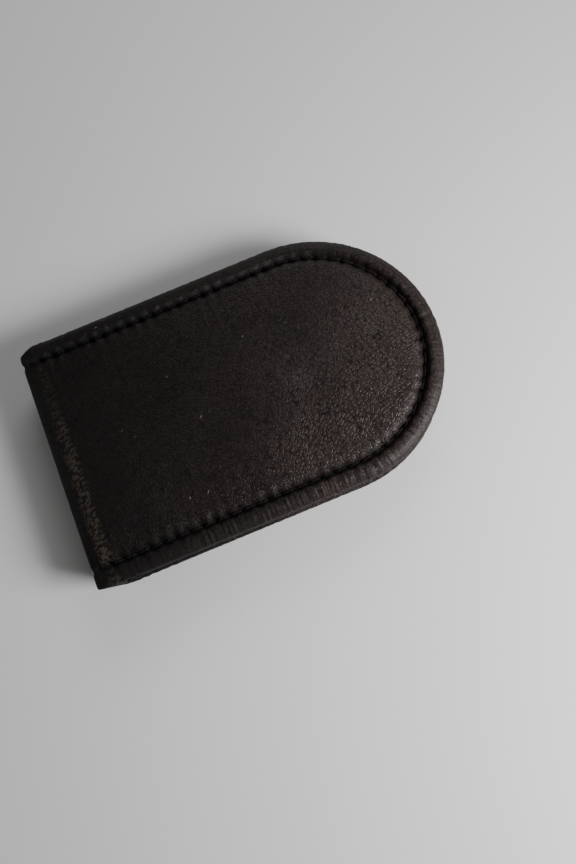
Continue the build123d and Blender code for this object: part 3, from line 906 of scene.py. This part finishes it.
def make_spine_cover(fold, sizes):
    """The outer leather of the spine with the round of both bends."""
    overlap = math.radians(7)
    lower_turns = np.linspace(fold.lower_normal - overlap, fold.spine_normal, 14)
    upper_turns = np.linspace(fold.spine_normal, fold.upper_normal + overlap, 22)
    steps = np.linspace(0.0, fold.length, 22)[1:-1]
    stations = [(fold.start, a, 0.0) for a in lower_turns]
    stations += [(fold.start + fold.up * s, fold.spine_normal, s) for s in steps]
    stations += [(fold.end, a, fold.length) for a in upper_turns]
    bottom = fold.bend_radius - sizes.cover_leather
    insets, rolled, back = fold_rows(fold, fold.bend_radius, bottom)
    groove = sizes.fold_groove * sizes.groove_depth
    plain = groove * trough(insets, fold.seam_inset, sizes.groove_width)
    sections = []
    for centre, angle, along in stations:
        floor = HAIR if abs(angle - fold.spine_normal) > 1e-6 else bottom
        beat = math.cos((along - fold.length / 2) / (0.4 * fold.length) * math.pi)
        calm = math.sin(math.pi * along / fold.length)
        past = abs(angle - (fold.upper_normal if along > 0 else fold.lower_normal))
        from_fold = fold.bend_radius * (1.0 - math.sin(min(past, math.pi / 2)))
        depth = plain * (1.0 + 0.4 * sizes.pucker * beat * calm)
        slack = 0.06 * MM * calm * np.clip((insets - fold.seam_inset) / (6 * MM), 0.0, 1.0)
        face = np.stack([insets, fold.bend_radius - depth - slack], axis=1)
        edge = np.stack([rolled[:, 0], np.maximum(rolled[:, 1], floor)], axis=1)
        under = np.stack([back, np.full(len(back), floor)], axis=1)
        out = np.array(fold.normal(angle))
        sections.append(fold_section(fold, sizes, centre, out, from_fold, face, edge, under))
    points = np.array(sections)

    # Wrinkles on the outside, between the two bends.
    outward = np.array([np.array(fold.normal(angle)) for _, angle, _ in stations])[:, None, :]
    centre_line = np.array([np.array(centre) for centre, _, _ in stations])[:, None, :]
    over = ((points - centre_line) * outward).sum(axis=-1)
    outside = ease(0.5 * fold.bend_radius, 0.8 * fold.bend_radius, over)
    straight = np.array([math.sin(math.pi * along / fold.length) for _, _, along in stations])[:, None]
    wrinkles = (ripple(points * [1.0, 1.3, 0.6], 1.2 * MM, 11.0) - 0.5) * outside * straight
    points = points + outward * (sizes.fold_wrinkle * wrinkles)[..., None]
    return skin("spine_outer_leather", points, fold_marks(fold, sizes, points, 0.9, outside), closed=True)


def make_spine_lining(fold, sizes):
    """The inner leather of the spine, between the two creases."""
    top = fold.bend_radius - sizes.cover_leather - HAIR
    bottom = -fold.bend_radius
    insets, rolled, back = fold_rows(fold, top, bottom)
    groove = sizes.lining_groove * trough(insets, fold.seam_inset, sizes.groove_width)
    face = np.stack([insets, bottom + groove], axis=1)
    over = np.stack([back, np.full(len(back), top)], axis=1)
    out = np.array(fold.out)
    middles = [fold.start + fold.up * along for along in np.linspace(0.0, fold.length, 24)]
    edge = rolled[::-1]
    points = np.array([fold_section(fold, sizes, m, out, 0.0, face, edge, over) for m in middles])
    return skin("spine_inner_leather", points, fold_marks(fold, sizes, points, 0.15, 1.0), closed=True)


# ---- sewing ----------------------------------------------------------------------------------


def stitch_tree():
    """Geometry nodes that lay a twisted two-ply stitch at each point, by its "along" and "outward"."""
    tree = bpy.data.node_groups.new("lay_stitches", "GeometryNodeTree")
    recipe = Recipe(tree)
    face = tree.interface
    face.new_socket("Geometry", in_out="INPUT", socket_type="NodeSocketGeometry")
    for name in ("Thread", "Length", "End dip", "Twist"):
        face.new_socket(name, in_out="INPUT", socket_type="NodeSocketFloat")
    face.new_socket("Seed", in_out="INPUT", socket_type="NodeSocketInt")
    face.new_socket("Material", in_out="INPUT", socket_type="NodeSocketMaterial")
    face.new_socket("Geometry", in_out="OUTPUT", socket_type="NodeSocketGeometry")
    given = recipe.add("NodeGroupInput")
    thread, length = given.other("Thread"), given.other("Length")

    helix = recipe.add(
        "GeometryNodeCurveSpiral",
        {},
        {
            "Resolution": 9,
            "Rotations": given.other("Twist"),
            "Start Radius": thread * 0.23,
            "End Radius": thread * 0.23,
            "Height": length,
        },
    )
    back = recipe.add("ShaderNodeCombineXYZ", {}, {"X": length * -0.5})
    laid = recipe.add("GeometryNodeTransform", {}, {"Geometry": helix, "Rotation": (0, math.pi / 2, 0)})
    first = recipe.add("GeometryNodeTransform", {}, {"Geometry": laid, "Translation": back})
    second = recipe.add("GeometryNodeTransform", {}, {"Geometry": first, "Rotation": (math.pi, 0, 0)})
    joined = tree.nodes.new("GeometryNodeJoinGeometry")
    for ply in (first, second):
        tree.links.new(ply.socket, joined.inputs[0])
    spot = recipe.add("ShaderNodeSeparateXYZ", {}, {"Vector": recipe.add("GeometryNodeInputPosition")})
    off_middle = spot.other("X") / (length * 0.5)
    squared = off_middle * off_middle
    dip = recipe.add("ShaderNodeCombineXYZ", {}, {"Z": squared * squared * given.other("End dip") * -1.0})
    both = Socket(recipe, joined.outputs[0])
    bent = recipe.add("GeometryNodeSetPosition", {}, {"Geometry": both, "Offset": dip})
    ring = recipe.add("GeometryNodeCurvePrimitiveCircle", {}, {"Resolution": 5, "Radius": thread * 0.29})
    ply = recipe.add("GeometryNodeCurveToMesh", {}, {"Curve": bent, "Profile Curve": ring, "Fill Caps": True})

    ways = {
        name: recipe.add("GeometryNodeInputNamedAttribute", {"data_type": "FLOAT_VECTOR"}, {"Name": name})
        for name in ("along", "outward")
    }
    lengthwise = recipe.add("FunctionNodeAlignRotationToVector", {"axis": "X"}, {"Vector": ways["along"]})
    upright = recipe.add(
        "FunctionNodeAlignRotationToVector",
        {"axis": "Z", "pivot_axis": "X"},
        {"Rotation": lengthwise, "Vector": ways["outward"]},
    )
    sway = recipe.add(
        "FunctionNodeRandomValue",
        {"data_type": "FLOAT_VECTOR"},
        {"Min": (-0.35, -0.03, 0.0), "Max": (0.35, 0.03, 0.16), "Seed": given.other("Seed")},
    )
    swayed = {"Rotation": upright, "Rotate By": sway}
    turned = recipe.add("FunctionNodeRotateRotation", {"rotation_space": "LOCAL"}, swayed)
    swell = recipe.add(
        "FunctionNodeRandomValue",
        {"data_type": "FLOAT_VECTOR"},
        {"Min": (0.93, 0.92, 0.94), "Max": (1.04, 1.08, 1.08), "Seed": given.other("Seed") + 1.0},
    )
    laid_out = recipe.add(
        "GeometryNodeInstanceOnPoints",
        {},
        {"Points": given.other("Geometry"), "Instance": ply, "Rotation": turned, "Scale": swell},
    )
    real = recipe.add("GeometryNodeRealizeInstances", {}, {"Geometry": laid_out})
    dressing = {"Geometry": real, "Material": given.other("Material")}
    dressed = recipe.add("GeometryNodeSetMaterial", {}, dressing)
    shown = recipe.add("GeometryNodeSetShadeSmooth", {}, {"Geometry": dressed})
    recipe.add("NodeGroupOutput", {}, {"Geometry": shown})
    return tree


def sew(name, places, thread, sewing, material):
    """Stitches at places of (point, along, outward), made by geometry nodes and turned into a plain mesh."""
    mesh = bpy.data.meshes.new(name + "_places")
    mesh.from_pydata([tuple(point) for point, _, _ in places], [], [])
    for column, key in ((1, "along"), (2, "outward")):
        layer = mesh.attributes.new(key, "FLOAT_VECTOR", "POINT")
        layer.data.foreach_set("vector", [part for place in places for part in place[column]])
    guide = new_object(name + "_places", mesh)
    tree = bpy.data.node_groups.get("lay_stitches") or stitch_tree()
    modifier = guide.modifiers.new("stitches", "NODES")
    modifier.node_group = tree
    values = {
        "Thread": thread,
        "Length": sewing.length,
        "End dip": sewing.end_dip,
        "Twist": sewing.twist,
        "Seed": sewing.seed,
        "Material": material,
    }
    for item in tree.interface.items_tree:
        if item.in_out == "INPUT" and item.name in values:
            modifier[item.identifier] = values[item.name]
    graph = bpy.context.evaluated_depsgraph_get()
    plain = bpy.data.meshes.new_from_object(guide.evaluated_get(graph))
    bpy.data.objects.remove(guide)
    return new_object(name, plain)


def flap_stitch_places(flap, seam, height_at, outwards, skip_ends):
    """Where a flap's stitches lie, at a height that may change towards the crease."""
    first, last = (1, seam.count) if skip_ends else (0, seam.count + 1)
    step = 0.1 * MM
    places = []
    for i in range(first, last):
        at = seam.first + i * seam.step
        ends = []
        for along in (at - step, at, at + step):
            base_x, way_x, way_y = (float(v) for v in seam.stations(along))
            x, y = base_x + way_x * seam.radius, way_y * seam.radius
            ends.append(flap.place(np.array(x), np.array(y), np.array(height_at(x - flap.crease.x))))
        direction = Vector(ends[2] - ends[0]).normalized()
        up = Vector((0.0, 0.0, outwards))
        up = (up - direction * up.dot(direction)).normalized()
        places.append((ends[1], direction, up))
    return places


def spine_stitch_places(fold, sewing, over, outwards):
    """Where the spine's stitches lie, two on each side."""
    places = []
    for y in (fold.seam_inset - fold.half_width, fold.half_width - fold.seam_inset):
        for step in (-0.5, 0.5):
            along = fold.length / 2 + step * sewing.spine_pitch
            point = fold.start + fold.up * along + fold.out * over + Vector((0.0, y, 0.0))
            places.append((point, fold.up, fold.out * outwards))
    return places


# ---- operators -------------------------------------------------------------------------------


def flaps():
    return [Flap(name, crease, outwards) for name, crease, outwards in FLAPS]


def clip_leather(finishes):
    name = "cover_leather_finish"
    return material_once(name, leather_material, name, finishes, 0.4, 1.0)


def inner_leather(finishes):
    name = "lining_leather_finish"
    return material_once(name, leather_material, name, finishes, 0.25, 0.35)


class CLIP_OT_stage(bpy.types.Operator):
    """Lay the floor and set up soft lights and the camera"""

    bl_idname = "money_clip.stage"
    bl_label = "Stage"

    def execute(self, context):
        stage = context.scene.clip_stage
        finishes = context.scene.clip_finishes
        side = stage.floor_size / 2
        mesh = bpy.data.meshes.new("floor")
        corners = ((-1, -1), (1, -1), (1, 1), (-1, 1))
        mesh.from_pydata([(side * x, side * y, -HAIR) for x, y in corners], [], [(0, 1, 2, 3)])
        mesh.materials.append(floor_material(finishes))
        floor = new_object("floor", mesh)
        for name, place, size, power in LIGHTS:
            self.add_light(name, Vector(place), size, power)
        world = bpy.data.worlds.new("studio")
        world.use_nodes = True
        recipe = Recipe(world.node_tree)
        warm = (1.0, 0.96, 0.93, 1.0)
        glow = recipe.add("ShaderNodeBackground", {}, {"Color": warm, "Strength": stage.world})
        recipe.add("ShaderNodeOutputWorld", {}, {"Surface": glow})
        context.scene.world = world
        camera = bpy.data.cameras.new("camera")
        camera.lens = stage.lens
        camera.clip_start = 0.005
        holder = new_object("camera", camera)
        holder.location = stage.camera_place
        holder.rotation_euler = stage.camera_turn
        context.scene.camera = holder
        return {"FINISHED"}

    @staticmethod
    def add_light(name, place, size, power):
        """A soft rectangular light that faces the clip."""
        light = bpy.data.lights.new(name, "AREA")
        light.shape = "RECTANGLE"
        light.size, light.size_y = size
        light.energy = power
        holder = new_object(name, light)
        holder.location = place
        holder.rotation_euler = (-place).to_track_quat("-Z", "Y").to_euler()


class CLIP_OT_covers(bpy.types.Operator):
    """Make the padded outer leather of both flaps"""

    bl_idname = "money_clip.covers"
    bl_label = "Flap covers"

    def execute(self, context):
        material = clip_leather(context.scene.clip_finishes)
        for flap in flaps():
            seam = Seam(flap, context.scene.clip_sewing)
            piece = make_flap_cover(flap, seam, context.scene.clip_leather)
            finish_piece(piece, material, f"{flap.name}_flap", f"{flap.name}_cover")
        return {"FINISHED"}


class CLIP_OT_linings(bpy.types.Operator):
    """Make the inner leather of both flaps"""

    bl_idname = "money_clip.linings"
    bl_label = "Flap linings"

    def execute(self, context):
        material = inner_leather(context.scene.clip_finishes)
        for flap in flaps():
            seam = Seam(flap, context.scene.clip_sewing)
            piece = make_flap_lining(flap, seam, context.scene.clip_leather)
            finish_piece(piece, material, f"{flap.name}_flap", f"{flap.name}_lining")
        return {"FINISHED"}


class CLIP_OT_spine(bpy.types.Operator):
    """Make both leathers of the spine"""

    bl_idname = "money_clip.spine"
    bl_label = "Spine"

    def execute(self, context):
        finishes = context.scene.clip_finishes
        fold = Fold(*flaps())
        outer = make_spine_cover(fold, context.scene.clip_leather)
        finish_piece(outer, clip_leather(finishes), "spine", "spine_cover")
        inner = make_spine_lining(fold, context.scene.clip_leather)
        finish_piece(inner, inner_leather(finishes), "spine", "spine_lining")
        return {"FINISHED"}


class CLIP_OT_needle_thread(bpy.types.Operator):
    """Sew the stitches that show outside"""

    bl_idname = "money_clip.needle_thread"
    bl_label = "Needle thread"

    def execute(self, context):
        sizes, sewing = context.scene.clip_leather, context.scene.clip_sewing
        material = material_once("sewing_thread_finish", thread_material, context.scene.clip_finishes)
        thread = sewing.needle_thread
        both = flaps()
        sunk = (1.0 - sizes.pucker) * sizes.groove_depth - 0.32 * thread
        for flap in both:
            height = flap.rim - sunk
            seam = Seam(flap, sewing)
            places = flap_stitch_places(flap, seam, lambda x, height=height: height, flap.outwards, False)
            piece = sew(f"{flap.name}_outer_stitches", places, thread, sewing, material)
            body = f"{flap.name}_flap"
            finish_piece(piece, material, body, f"{flap.name}_needle_stitches")
        fold = Fold(*both)
        over = fold.bend_radius - sizes.fold_groove * sizes.groove_depth + 0.3 * thread
        places = spine_stitch_places(fold, sewing, over, 1.0)
        piece = sew("spine_outer_stitches", places, thread, sewing, material)
        finish_piece(piece, material, "spine", "spine_needle_stitches")
        return {"FINISHED"}


class CLIP_OT_bobbin_thread(bpy.types.Operator):
    """Sew the stitches that show inside"""

    bl_idname = "money_clip.bobbin_thread"
    bl_label = "Bobbin thread"

    def execute(self, context):
        sizes, sewing = context.scene.clip_leather, context.scene.clip_sewing
        material = material_once("sewing_thread_finish", thread_material, context.scene.clip_finishes)
        thread = sewing.bobbin_thread
        both = flaps()
        sunk = (1.0 - sizes.pucker) * sizes.lining_groove - 0.3 * thread
        for flap in both:
            raised = flap.rim - sizes.cover_leather - sizes.lining_leather

            def height_at(x, raised=raised):
                return sunk + raised * (1.0 - float(ease(sizes.ramp_start, sizes.ramp_end, np.array(x))))

            places = flap_stitch_places(flap, Seam(flap, sewing), height_at, -flap.outwards, True)
            piece = sew(f"{flap.name}_inner_stitches", places, thread, sewing, material)
            body = f"{flap.name}_flap"
            finish_piece(piece, material, body, f"{flap.name}_bobbin_stitches")
        fold = Fold(*both)
        places = spine_stitch_places(fold, sewing, sunk - fold.bend_radius, -1.0)
        piece = sew("spine_inner_stitches", places, thread, sewing, material)
        finish_piece(piece, material, "spine", "spine_bobbin_stitches")
        return {"FINISHED"}


class CLIP_OT_inner_parts(bpy.types.Operator):
    """Finish the boards, pads, magnets and tapes inside the flaps"""

    bl_idname = "money_clip.inner_parts"
    bl_label = "Inner parts"

    def execute(self, context):
        finishes = context.scene.clip_finishes
        made = {
            "board": board_material(finishes),
            "pad": foam_material(finishes),
            "magnets": plating_material(finishes),
            "magnet_tape": tape_material(finishes),
        }
        for kind, material in made.items():
            for name, _, _ in FLAPS:
                node = frame["nodes"][f"{name}_{kind}"]
                node.data.materials.clear()
                node.data.materials.append(material)
        return {"FINISHED"}


class CLIP_PT_panel(bpy.types.Panel):
    """Buttons that make the clip, in order"""

    bl_label = "Leather Money Clip"
    bl_idname = "CLIP_PT_panel"
    bl_space_type = "VIEW_3D"
    bl_region_type = "UI"
    bl_category = "Money Clip"

    def draw(self, context):
        for operator in OPERATORS:
            self.layout.operator(operator.bl_idname)
        for key, group in GROUPS.items():
            box = self.layout.box()
            for prop in group.__annotations__:
                box.prop(getattr(context.scene, key), prop)


OPERATORS = (
    CLIP_OT_stage,
    CLIP_OT_covers,
    CLIP_OT_linings,
    CLIP_OT_spine,
    CLIP_OT_needle_thread,
    CLIP_OT_bobbin_thread,
    CLIP_OT_inner_parts,
)


def register():
    for made in (*GROUPS.values(), *OPERATORS, CLIP_PT_panel):
        bpy.utils.register_class(made)
    for key, group in GROUPS.items():
        setattr(bpy.types.Scene, key, PointerProperty(type=group))


def unregister():
    for key in GROUPS:
        delattr(bpy.types.Scene, key)
    for made in reversed((*GROUPS.values(), *OPERATORS, CLIP_PT_panel)):
        bpy.utils.unregister_class(made)


def main():
    """Makes the whole clip."""
    register()
    bpy.ops.money_clip.stage()
    bpy.ops.money_clip.covers()
    bpy.ops.money_clip.linings()
    bpy.ops.money_clip.spine()
    bpy.ops.money_clip.needle_thread()
    bpy.ops.money_clip.bobbin_thread()
    bpy.ops.money_clip.inner_parts()


if __name__ == "__main__":
    main()
